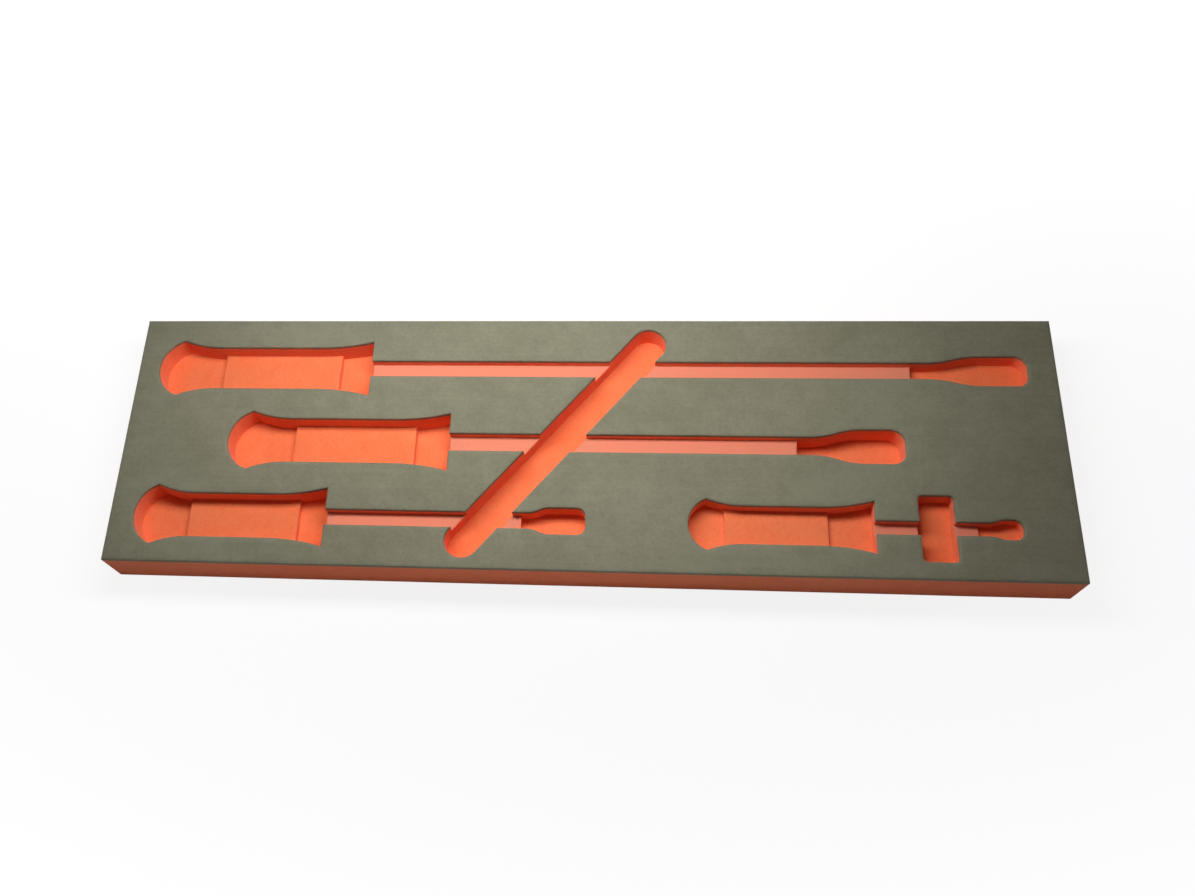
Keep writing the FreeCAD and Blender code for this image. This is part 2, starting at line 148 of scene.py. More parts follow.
LIP_SHAPES = {
    Lip.SKIN: LipShape(radius=0.9 * MM, sink=0.25 * MM, relief=0.35 * MM),
    Lip.STEP: LipShape(radius=0.6 * MM, sink=0.1 * MM, relief=0.2 * MM),
    Lip.FLUSH: LipShape(radius=0.0, sink=0.0, relief=0.0),
}


@dataclass(frozen=True)
class Waves:
    """One layer of noise, in a surface or in a colour.

    Attributes:
        scale: Waves per metre.
        detail: How many finer layers it has.
        weight: How much of it shows.
        stretch: Waves per metre along each axis, where they differ. The scale is then 1.
    """

    scale: float
    detail: float
    weight: float = 1.0
    stretch: Triple | None = None


def opaque(colour: Colour) -> tuple[float, float, float, float]:
    """Add the fourth number that a node's colour has."""
    return (*colour, 1.0)


@dataclass
class TreeMaker:
    """Adds nodes to a tree and joins them.

    Attributes:
        tree: The node tree that gets the nodes.
        mix_share: The Mix node's input for the second colour's share.
        mix_colours: Its inputs for the two colours.
        mix_result: Its output for the mixed colour.
    """

    tree: bpy.types.NodeTree
    mix_share: int = 0
    mix_colours: tuple[int, int] = (6, 7)
    mix_result: int = 2

    def add(self, kind: str, **settings: object) -> bpy.types.Node:
        """Add one node.

        Args:
            kind: The node's type.
            settings: Values for the node's own properties.

        Returns:
            The new node.
        """
        node = self.tree.nodes.new(kind)
        for name, value in settings.items():
            setattr(node, name, value)
        return node

    def feed(self, node: bpy.types.Node, **inputs: object) -> bpy.types.Node:
        """Fill inputs of a node by name, with a value or from another node's output.

        Args:
            node: The node whose inputs are filled.
            inputs: Socket names, with underscores for spaces, and what goes in.

        Returns:
            The same node.
        """
        for name, value in inputs.items():
            self.plug(node.inputs[name.replace("_", " ")], value)
        return node

    def plug(self, socket: bpy.types.NodeSocket, value: object) -> None:
        """Fill one input.

        Args:
            socket: The input.
            value: A plain value, or the output that leads to it.
        """
        if isinstance(value, bpy.types.NodeSocket):
            self.tree.links.new(value, socket)
        else:
            socket.default_value = value

    def math(self, operation: str, *terms: object, kind: str = "ShaderNodeMath") -> Output:
        """Add a Math node.

        Args:
            operation: The node's operation.
            terms: Its inputs in order, values or outputs.
            kind: The node's type.

        Returns:
            The node's first output.
        """
        node = self.add(kind, operation=operation)
        for socket, term in zip(node.inputs, terms):
            self.plug(socket, term)
        return node.outputs[0]

    def vector(self, operation: str, *terms: object) -> Output:
        """Add a Vector Math node, in the same way."""
        return self.math(operation, *terms, kind="ShaderNodeVectorMath")

    def scaled(self, vector: Output, factor: Output) -> Output:
        """Multiply a vector by a number."""
        node = self.add("ShaderNodeVectorMath", operation="SCALE")
        return self.feed(node, Vector=vector, Scale=factor).outputs[0]

    def parts(self, vector: Output) -> Outputs:
        """Split a vector into outputs named X, Y and Z."""
        return self.feed(self.add("ShaderNodeSeparateXYZ"), Vector=vector).outputs

    def joined(self, **parts: Output) -> Output:
        """Make a vector of its X, Y and Z. What isn't given is 0."""
        return self.feed(self.add("ShaderNodeCombineXYZ"), **parts).outputs[0]

    def noise(self, place: Output, waves: Waves, roughness: float = 0.5) -> bpy.types.Node:
        """Add noise.

        Args:
            place: Where the noise is read.
            waves: Its scale, detail and stretch.
            roughness: How strong its finer layers are, from 0 to 1.

        Returns:
            The node, whose outputs Fac and Color lie round 0.5.
        """
        if waves.stretch:
            place = self.vector("MULTIPLY", place, waves.stretch)
        node = self.add("ShaderNodeTexNoise")
        return self.feed(node, Vector=place, Scale=waves.scale, Detail=waves.detail, Roughness=roughness)

    def spread(self, value: Output, given: Pair = UNIT, wanted: Pair = UNIT, smooth: bool = False) -> Output:
        """Turn one range of numbers into another, and hold what lies outside at its ends.

        Args:
            value: The number.
            given: The ends of its range.
            wanted: What they become.
            smooth: Whether both ends are reached gently.

        Returns:
            The new number.
        """
        node = self.add("ShaderNodeMapRange", interpolation_type="SMOOTHSTEP" if smooth else "LINEAR")
        self.feed(node, Value=value, From_Min=given[0], From_Max=given[1])
        return self.feed(node, To_Min=wanted[0], To_Max=wanted[1]).outputs[0]

    def mix(self, share: Output, low: object, high: object) -> Output:
        """Mix two colours.

        Args:
            share: The second colour's share, from 0 to 1.
            low: The first colour, four numbers or an output.
            high: The second colour, likewise.

        Returns:
            The mixed colour.
        """
        node = self.add("ShaderNodeMix", data_type="RGBA")
        self.plug(node.inputs[self.mix_share], share)
        for number, colour in zip(self.mix_colours, (low, high)):
            self.plug(node.inputs[number], colour)
        return node.outputs[self.mix_result]


def emptied(owner: bpy.types.Material | bpy.types.World) -> TreeMaker:
    """Clear the nodes of a material or a world.

    Args:
        owner: The material or world.

    Returns:
        What adds new nodes to it.
    """
    owner.use_nodes = True
    owner.node_tree.nodes.clear()
    return TreeMaker(owner.node_tree)


@dataclass
class SheetTree:
    """The node tree that turns a flat outline into a sheet of soft foam with rounded upper edges.

    Attributes:
        lip_steps: Facets of a rounded edge.
        merge: Points nearer to each other than this become one.
        face_waves: The upper face's relief.
        slow_waves: How the walls wander.
        quick_waves: The finer waves on them.
        middle: The noise's mean along each axis.
        level: Multiplied by this, a vector has no height.
        counts: The Compare node's inputs for whole numbers.
        tree: The node tree.
        maker: What adds its nodes.
        ids: The identifier of each named input.
    """

    lip_steps: int = 5
    merge: float = 0.002 * MM
    face_waves: Waves = Waves(scale=22.0, detail=2.0)
    slow_waves: Waves = Waves(scale=14.0, detail=1.0)
    quick_waves: Waves = Waves(scale=160.0, detail=2.0, weight=0.35)
    middle: Triple = (0.5, 0.5, 0.5)
    level: Triple = (1.0, 1.0, 0.0)
    counts: tuple[int, int] = (2, 3)
    tree: bpy.types.NodeTree = field(init=False)
    maker: TreeMaker = field(init=False)
    ids: dict[str, str] = field(init=False, default_factory=dict)

    def __post_init__(self) -> None:
        """Build the tree."""
        self.tree = bpy.data.node_groups.new("soft_sheet", "GeometryNodeTree")
        self.maker = TreeMaker(self.tree)
        for name, kind in (
            ("Outline", Socket.GEOMETRY),
            ("Bottom height", Socket.NUMBER),
            ("Lip radius", Socket.NUMBER),
            ("Edge sink", Socket.NUMBER),
            ("Face relief", Socket.NUMBER),
            ("Wall wave", Socket.NUMBER),
            ("Wave seed", Socket.COUNT),
            ("Finish", Socket.FINISH),
        ):
            socket = self.tree.interface.new_socket(name, in_out="INPUT", socket_type=kind.value)
            self.ids[name] = socket.identifier
        self.tree.interface.new_socket("Sheet", in_out="OUTPUT", socket_type=Socket.GEOMETRY.value)
        given = self.maker.add("NodeGroupInput").outputs
        self._end(self._closed_sheet(given), given)

    def _noise(self, waves: Waves, seed: Output) -> Output:
        """Add noise over the plan, from -0.5 to 0.5 along each axis, the same on every sheet."""
        noise = self.maker.noise(self._at_height(seed), waves)
        return self.maker.vector("SUBTRACT", noise.outputs["Color"], self.middle)

    def _named(self, name: str, kind: str) -> Output:
        """Read an attribute of the outline by its name and data type."""
        node = self.maker.add("GeometryNodeInputNamedAttribute", data_type=kind)
        return self.maker.feed(node, Name=name).outputs["Attribute"]

    def _at_height(self, height: Output) -> Output:
        """Give each point's own place, brought to one height."""
        here = self.maker.parts(self.maker.add("GeometryNodeInputPosition").outputs[0])
        return self.maker.joined(X=here["X"], Y=here["Y"], Z=height)

    def _moved(self, mesh: Output, **settings: Output) -> Output:
        """Move points of a mesh, as the other inputs of a Set Position node say."""
        node = self.maker.add("GeometryNodeSetPosition")
        return self.maker.feed(node, Geometry=mesh, **settings).outputs[0]

    def _closed_sheet(self, given: Outputs) -> Output:
        """Add the nodes for the upper face, the walls and the lower face.

        Args:
            given: The tree's inputs.

        Returns:
            One closed mesh.
        """
        maker = self.maker
        outward = self._named("edge_out", "FLOAT_VECTOR")
        radius = maker.math("MULTIPLY", self._named("edge_lip", "FLOAT"), given["Lip radius"])
        sink = maker.math("MULTIPLY", self._named("edge_near", "FLOAT"), given["Edge sink"])
        waves = maker.parts(self._noise(self.face_waves, given["Wave seed"]))
        lift = maker.math("MULTIPLY", waves["Z"], given["Face relief"])
        inset = maker.scaled(outward, maker.math("MULTIPLY", radius, -1.0))
        offset = maker.vector("ADD", inset, maker.joined(Z=maker.math("SUBTRACT", lift, sink)))
        face = self._moved(given["Outline"], Offset=offset)

        bottom = self._at_height(given["Bottom height"])
        walls = self._with_walls(face, outward, radius, bottom)
        under = maker.add("GeometryNodeFlipFaces")
        maker.feed(under, Mesh=self._moved(given["Outline"], Position=bottom))
        whole = maker.add("GeometryNodeJoinGeometry")
        for mesh in (walls, under.outputs[0]):
            maker.plug(whole.inputs[0], mesh)
        closed = maker.add("GeometryNodeMergeByDistance")
        return maker.feed(closed, Geometry=whole.outputs[0], Distance=self.merge).outputs[0]

    def _with_walls(self, face: Output, outward: Output, radius: Output, bottom: Output) -> Output:
        """Pull the face's open edges round the lip, a step at a time, and then down to the lower face.

        Args:
            face: The upper face.
            outward: The way out at each point.
            radius: The lip's radius at each point.
            bottom: Each point's place in the lower face.

        Returns:
            The face with its walls.
        """
        maker = self.maker
        faces = maker.add("GeometryNodeInputMeshEdgeNeighbors").outputs["Face Count"]
        open_edge = maker.add("FunctionNodeCompare", data_type="INT", operation="EQUAL")
        for number, count in zip(self.counts, (faces, 1)):
            maker.plug(open_edge.inputs[number], count)
        chosen = open_edge.outputs[0]
        mesh = face
        for step in range(self.lip_steps + 1):
            grow = maker.add("GeometryNodeExtrudeMesh", mode="EDGES")
            maker.feed(grow, Mesh=mesh, Selection=chosen, Offset_Scale=0.0)
            chosen = grow.outputs["Top"]
            if step < self.lip_steps:
                before = math.radians(90 * step / self.lip_steps)
                after = math.radians(90 * (step + 1) / self.lip_steps)
                out = maker.math("MULTIPLY", radius, math.sin(after) - math.sin(before))
                down = maker.math("MULTIPLY", radius, math.cos(after) - math.cos(before))
                offset = maker.vector("ADD", maker.scaled(outward, out), maker.joined(Z=down))
                mesh = self._moved(grow.outputs["Mesh"], Selection=chosen, Offset=offset)
            else:
                mesh = self._moved(grow.outputs["Mesh"], Selection=chosen, Position=bottom)
        return mesh

    def _end(self, closed: Output, given: Outputs) -> None:
        """Add the nodes for the walls' waves and the material, and end the tree.

        Args:
            closed: The closed sheet.
            given: The tree's inputs.
        """
        maker = self.maker
        height = given["Wall wave"]
        slow = maker.scaled(self._noise(self.slow_waves, given["Wave seed"]), height)
        finer = maker.math("MULTIPLY", height, self.quick_waves.weight)
        quick = maker.scaled(self._noise(self.quick_waves, given["Wave seed"]), finer)
        sideways = maker.vector("MULTIPLY", maker.vector("ADD", slow, quick), self.level)
        real = maker.add("GeometryNodeRealizeInstances")
        maker.feed(real, Geometry=self._moved(closed, Offset=sideways))
        dressed = maker.add("GeometryNodeSetMaterial")
        maker.feed(dressed, Geometry=real.outputs[0], Material=given["Finish"])
        maker.plug(maker.add("NodeGroupOutput").inputs[0], dressed.outputs[0])

    def apply(self, piece: bpy.types.Object, **values: object) -> None:
        """Run the tree on a piece and keep its result as a plain mesh.

        Args:
            piece: The object whose mesh is the flat outline.
            values: The tree's inputs by name, with underscores for spaces.
        """
        modifier = piece.modifiers.new("soft_sheet", "NODES")
        modifier.node_group = self.tree
        for name, value in values.items():
            modifier[self.ids[name.replace("_", " ")]] = value
        bpy.context.view_layer.update()
        graph = bpy.context.evaluated_depsgraph_get()
        made = bpy.data.meshes.new_from_object(piece.evaluated_get(graph), depsgraph=graph)
        outline = piece.data
        piece.modifiers.clear()
        piece.data = made
        made.name = piece.name
        bpy.data.meshes.remove(outline)


def runs(loop: np.ndarray) -> tuple[np.ndarray, np.ndarray]:
    """Give the run that leads to each point of a closed loop, and the run that leaves it."""
    return loop - np.roll(loop, 1, axis=0), np.roll(loop, -1, axis=0) - loop


def divided(loop: np.ndarray, spacing: float) -> list[np.ndarray]:
    """Spread points along a closed loop.

    Args:
        loop: The loop's corners, one in each row.
        spacing: The longest stretch between two points.

    Returns:
        Its corners, and evenly spread points between them.
    """
    points = []
    for start, end in zip(loop, np.roll(loop, -1, axis=0)):
        count = max(1, math.ceil(float(np.linalg.norm(end - start)) / spacing))
        points += [start + (end - start) * step / count for step in range(count)]
    return points


@dataclass
class Outline:
    """A sheet's plan, read from the face of its solid: the outer edge and the edge of each recess.

    Attributes:
        node: The solid's name.
        spacing: Longest stretch between two points of an edge.
        fine_spacing: The same, where edges are measured from.
        level: A corner this little below the upper face still belongs to it.
        straight: Sine of a turn too small to keep a point for.
        sharpest: Least cosine of half a turn, so that no sharp corner reaches out too far.
        top: Height of the upper face.
        bottom: Height of the lower face.
        loops: The edges, each closed, with the material on its left.
        index: Finds the point of the edges that is nearest to a place.
    """

    node: str
    spacing: float = 2.5 * MM
    fine_spacing: float = 0.25 * MM
    level: float = 0.005 * MM
    straight: float = 1e-4
    sharpest: float = 0.55
    top: float = field(init=False)
    bottom: float = field(init=False)
    loops: list[np.ndarray] = field(init=False)
    index: kdtree.KDTree = field(init=False)

    def __post_init__(self) -> None:
        """Read the edges from the solid's upper face."""
        low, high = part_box(self.node)
        self.bottom = low.z
        self.top = high.z
        self.loops = [self._even(loop) for loop in self._edges()]
        close = [point for loop in self.loops for point in divided(loop, self.fine_spacing)]
        self.index = kdtree.KDTree(len(close))
        for number, point in enumerate(close):
            self.index.insert((point[0], point[1], 0.0), number)
        self.index.balance()

    def _edges(self) -> list[np.ndarray]:
        """Chain the open edges of the solid's upper face.

        Returns:
            Closed loops of plan points, the material always on their left.
        """
        mesh = frame["nodes"][self.node].data
        mesh.calc_loop_triangles()
        open_runs: dict[tuple, None] = {}
        for triangle in mesh.loop_triangles:
            corners = [mesh.vertices[index].co for index in triangle.vertices]
            if min(corner.z for corner in corners) < self.top - self.level:
                continue
            keys = [(round(corner.x / MM, 3), round(corner.y / MM, 3)) for corner in corners]
            area = (keys[1][0] - keys[0][0]) * (keys[2][1] - keys[0][1])
            area -= (keys[2][0] - keys[0][0]) * (keys[1][1] - keys[0][1])
            if area < 0:
                keys.reverse()
            for start, end in zip(keys, keys[1:] + keys[:1]):
                if (end, start) in open_runs:
                    del open_runs[(end, start)]
                else:
                    open_runs[(start, end)] = None
        follow = {start: end for start, end in open_runs}
        loops = []
        while follow:
            first = next(iter(follow))
            loop = [first]
            step = follow.pop(first)
            while step != first:
                loop.append(step)
                step = follow.pop(step)
            loops.append(np.array(loop) * MM)
        return loops

    def _even(self, loop: np.ndarray) -> np.ndarray:
        """Drop points on straight runs, then divide long runs evenly.

        Args:
            loop: A closed loop of plan points.

        Returns:
            The same loop with evenly spread points.
        """
        before, after = runs(loop)
        turn = np.abs(before[:, 0] * after[:, 1] - before[:, 1] * after[:, 0])
        bent = turn > self.straight * np.linalg.norm(before, axis=1) * np.linalg.norm(after, axis=1)
        return np.array(divided(loop[bent], self.spacing))

    def outward(self, loop: np.ndarray) -> np.ndarray:
        """Point away from the material at each point of a loop.

        Args:
            loop: A closed loop with the material on its left.

        Returns:
            Plan vectors that keep their distance from both neighbouring runs.
        """
        before, after = runs(loop)
        before = before / np.linalg.norm(before, axis=1, keepdims=True)
        after = after / np.linalg.norm(after, axis=1, keepdims=True)
        first = np.stack([before[:, 1], -before[:, 0]], axis=1)
        second = np.stack([after[:, 1], -after[:, 0]], axis=1)
        middle = first + second
        middle = middle / np.linalg.norm(middle, axis=1, keepdims=True)
        reach = 1 / np.maximum(np.sum(middle * first, axis=1), self.sharpest)
        return middle * reach[:, None]

    def holds(self, places: np.ndarray) -> np.ndarray:
        """Tell which places lie on the material.

        Args:
            places: Plan points, one in each row.

        Returns:
            True for each place inside the outer edge and outside every recess.
        """
        inside = np.zeros(len(places), dtype=bool)
        for loop in self.loops:
            for start, end in zip(loop, np.roll(loop, -1, axis=0)):
                if start[1] == end[1]:
                    continue
                crosses = (start[1] > places[:, 1]) != (end[1] > places[:, 1])
                share = (places[:, 1] - start[1]) / (end[1] - start[1])
                inside ^= crosses & (places[:, 0] < start[0] + share * (end[0] - start[0]))
        return inside

    def distance(self, x: float, y: float) -> float:
        """Measure how far a place in the plan is from the nearest edge."""
        return self.index.find((x, y, 0.0))[2]


@dataclass(frozen=True)
class FoamPattern:
    """What all the foams have in common.

    Attributes:
        level: Upright part of a face's direction from which on the face counts as level.
        noise_roughness: How strong the finer layers of all noise are.
        clouds: Slow changes of tint.
        mottling: Changes of tint about a centimetre across.
        flecks: Changes of tint a few cells across.
        drawn: The blade's long streaks.
        scuffs: Rarer and narrower streaks.
        scuff_power: What makes them rare.
        tint_range: Sums of all these that give the darkest and the palest tint.
        hollow_range: Distances from a cell's middle, in cells, where its hollow begins and is deepest.
        opened: The patches of opened cells, in waves per cell.
        opened_range: Noise at which a patch begins and is full.
        grain: The grain, in waves per cell.
        pit_weight: How much an opened cell deepens, and how much painted shade darkens it.
        grain_strength: Strength of the bump that grain and cells make.
        cuts: The upright lines on walls, close together along a wall and long down it.
        cut_strength: Strength of the bump that they make.
        roughness_range: What the grain adds to the roughness, at least and at most.
        sheen_roughness: Roughness of the sheen.
        specular: Level of plain reflections.
    """

    level: float = 0.8
    noise_roughness: float = 0.58
    clouds: Waves = Waves(scale=8.0, detail=3.0, weight=0.9)
    mottling: Waves = Waves(scale=75.0, detail=4.0, weight=0.7)
    flecks: Waves = Waves(scale=420.0, detail=2.0, weight=0.5)
    drawn: Waves = Waves(scale=1.0, detail=3.0, stretch=(7.0, 330.0, 40.0))
    scuffs: Waves = Waves(scale=1.0, detail=1.0, weight=1.5, stretch=(14.0, 520.0, 40.0))
    scuff_power: float = 5.0
    tint_range: Pair = (0.82, 1.28)
    hollow_range: Pair = (0.45, 0.05)
    opened: Waves = Waves(scale=0.32, detail=3.0)
    opened_range: Pair = (0.46, 0.64)
    grain: Waves = Waves(scale=0.8, detail=5.0)
    pit_weight: float = 0.8
    grain_strength: float = 0.8
    cuts: Waves = Waves(scale=1.0, detail=2.0, stretch=(900.0, 900.0, 25.0))
    cut_strength: float = 0.7
    roughness_range: Pair = (-0.08, 0.1)
    sheen_roughness: float = 0.6
    specular: float = 0.15


@dataclass(frozen=True)
class FoamFinish:
    """Closed-cell foam: skived flat on its faces and cut upright on its walls.

    Attributes:
        name: The material's name.
        light: Colour where the foam is palest.
        deep: Colour where it is darkest.
        cell_shade: Colour of the painted shade in the opened cells' hollows.
        cell: Size of a cell.
        grain_depth: Height of the grain.
        streaks: How much the skiving blade's long streaks tint the faces, from 0 to 1.
        cut_depth: Height of the upright lines that the cutter leaves on walls.
        roughness: Plain roughness.
        sheen: Weight of the soft sheen.
        pale_top: How much the faces that look up take a paler, greyer tint, from 0 to 1.
        pale_top_tint: The paler, greyer tint that they take.
        pale_top_tint: Its colour where it is rubbed.
        pattern: What it shares with the other foams.
    """

    name: str
    light: Colour
    deep: Colour
    cell_shade: Colour
    cell: float
    grain_depth: float
    streaks: float
    cut_depth: float
    roughness: float
    sheen: float
    pale_top: float = 0.0
    pale_top_tint: Colour = (0.775, 0.257, 0.162)
    pattern: FoamPattern = FoamPattern()

    def make(self) -> bpy.types.Material:
        """Build the material.

        Returns:
            The material, all procedural and on Object coordinates.
        """
        material = bpy.data.materials.new(self.name)
        maker = emptied(material)
        pattern = self.pattern
        place = maker.add("ShaderNodeTexCoord").outputs["Object"]
        upright = maker.parts(maker.add("ShaderNodeNewGeometry").outputs["True Normal"])["Z"]
        level = maker.math("GREATER_THAN", maker.math("ABSOLUTE", upright), pattern.level)
        upward = maker.math("GREATER_THAN", upright, pattern.level)
        cell_depth_and_shade = maker.math("MULTIPLY", self._opened_cells(maker, place), pattern.pit_weight)
        grain = self._noise(maker, place, self._per_cell(pattern.grain))

        tint = maker.mix(self._tint_share(maker, place, level), opaque(self.deep), opaque(self.light))
        # Painted shade: the opened cells' hollows darken towards their shade colour, and their depth goes
        # into the bump.
        cell_shaded = maker.mix(cell_depth_and_shade, tint, opaque(self.cell_shade))
        # Faces that look up turn towards a paler, greyer tint.
        with_pale_top = maker.mix(maker.math("MULTIPLY", upward, self.pale_top), cell_shaded, opaque(self.pale_top_tint))

        bump = maker.add("ShaderNodeBump")
        height = maker.math("SUBTRACT", grain, cell_depth_and_shade)
        maker.feed(bump, Height=height, Strength=pattern.grain_strength, Distance=self.grain_depth)
        cuts = self._noise(maker, place, pattern.cuts)
        cuts = maker.math("MULTIPLY", cuts, maker.math("SUBTRACT", 1.0, level))
        lined = maker.add("ShaderNodeBump")
        maker.feed(lined, Height=cuts, Strength=pattern.cut_strength, Distance=self.cut_depth)
        maker.feed(lined, Normal=bump.outputs[0])

        ends = tuple(min(self.roughness + part, 1.0) for part in pattern.roughness_range)
        shader = maker.add("ShaderNodeBsdfPrincipled")
        maker.feed(shader, Base_Color=with_pale_top, Roughness=maker.spread(grain, wanted=ends))
        maker.feed(shader, Normal=lined.outputs[0], Specular_IOR_Level=pattern.specular)
        maker.feed(shader, Sheen_Weight=self.sheen, Sheen_Roughness=pattern.sheen_roughness)
        maker.feed(maker.add("ShaderNodeOutputMaterial"), Surface=shader.outputs[0])
        return material

    def _per_cell(self, waves: Waves) -> Waves:
        """Turn waves per cell into waves per metre."""
        return replace(waves, scale=waves.scale / self.cell)

    def _noise(self, maker: TreeMaker, place: Output, waves: Waves) -> Output:
        """Add plain noise, from 0 to 1."""
        return maker.noise(place, waves, self.pattern.noise_roughness).outputs["Fac"]

    def _tint_share(self, maker: TreeMaker, place: Output, level: Output) -> Output:
        """Mix slow clouds, mottling and the blade's streaks into the share of the light colour.

        Args:
            maker: The material's node maker.
            place: Object coordinates.
            level: 1 on faces that lie flat, 0 on walls.

        Returns:
            The share, from 0 to 1.
        """
        pattern = self.pattern
        clouds, mottling, flecks = (
            maker.math("MULTIPLY", self._noise(maker, place, waves), waves.weight)
            for waves in (pattern.clouds, pattern.mottling, pattern.flecks)
        )
        total = maker.math("ADD", maker.math("ADD", clouds, mottling), flecks)
        drawn = maker.math("SUBTRACT", self._noise(maker, place, pattern.drawn), 0.5)
        scuffs = maker.math("POWER", self._noise(maker, place, pattern.scuffs), pattern.scuff_power)
        streaks = maker.math("ADD", drawn, maker.math("MULTIPLY", scuffs, pattern.scuffs.weight))
        streaks = maker.math("MULTIPLY", maker.math("MULTIPLY", streaks, level), self.streaks)
        return maker.spread(maker.math("ADD", total, streaks), given=pattern.tint_range)

    def _opened_cells(self, maker: TreeMaker, place: Output) -> Output:
        """Find the cells that the blade has opened.

        Args:
            maker: The material's node maker.
            place: Object coordinates.

        Returns:
            1 in the middle of an opened cell, falling to 0 outside it.
        """
        cells = maker.add("ShaderNodeTexVoronoi", feature="F1")
        maker.feed(cells, Vector=place, Scale=1 / self.cell, Randomness=1.0)
        hollow = maker.spread(cells.outputs["Distance"], given=self.pattern.hollow_range)
        patches = self._noise(maker, place, self._per_cell(self.pattern.opened))
        return maker.math("MULTIPLY", hollow, maker.spread(patches, given=self.pattern.opened_range))


@dataclass(frozen=True)
class SeamFinish:
    """The melted line between two sheets.

    Attributes:
        name: The material's name.
        colour: The line's colour.
        roughness: Its roughness, lower than the foam's.
        mottling: Its changes of tint.
        darkest: Its least brightness, as a share of its colour.
    """

    name: str
    colour: Colour
    roughness: float
    mottling: Waves = Waves(scale=260.0, detail=3.0)
    darkest: float = 0.7

    def make(self) -> bpy.types.Material:
        """Build the material.

        Returns:
            The material.
        """
        material = bpy.data.materials.new(self.name)
        material.use_nodes = True
        maker = TreeMaker(material.node_tree)
        place = maker.add("ShaderNodeTexCoord").outputs["Object"]
        share = maker.noise(place, self.mottling).outputs["Fac"]
        deep = tuple(self.darkest * part for part in self.colour)
        tint = maker.mix(share, opaque(deep), opaque(self.colour))
        shader = material.node_tree.nodes["Principled BSDF"]
        maker.feed(shader, Base_Color=tint, Roughness=self.roughness)
        return material


DARK_FOAM = FoamFinish(
    name="dark_foam",
    light=(0.237, 0.229, 0.157),
    deep=(0.184, 0.177, 0.117),
    # Painted shade in the opened cells' hollows.
    cell_shade=(0.085, 0.080, 0.056),
    cell=0.55 * MM,
    grain_depth=0.22 * MM,
    streaks=0.22,
    cut_depth=0.12 * MM,
    roughness=0.74,
    sheen=0.04,
)
RED_FOAM = FoamFinish(
    name="red_foam",
    light=(0.95, 0.236, 0.093),
    deep=(0.92, 0.186, 0.064),
    # Painted shade in the opened cells' hollows.
    cell_shade=(0.70, 0.07, 0.022),
    cell=0.75 * MM,
    grain_depth=0.26 * MM,
    streaks=0.08,
    cut_depth=0.16 * MM,
    roughness=0.86,
    sheen=0.1,
)
# The same red foam, with a paler, greyer tint on the faces that look up.
PALE_TOP_FOAM = replace(RED_FOAM, name="pale_top_red_foam", pale_top=0.9)
SEAM = SeamFinish(name="bond_seam", colour=(0.55, 0.07, 0.025), roughness=0.5)


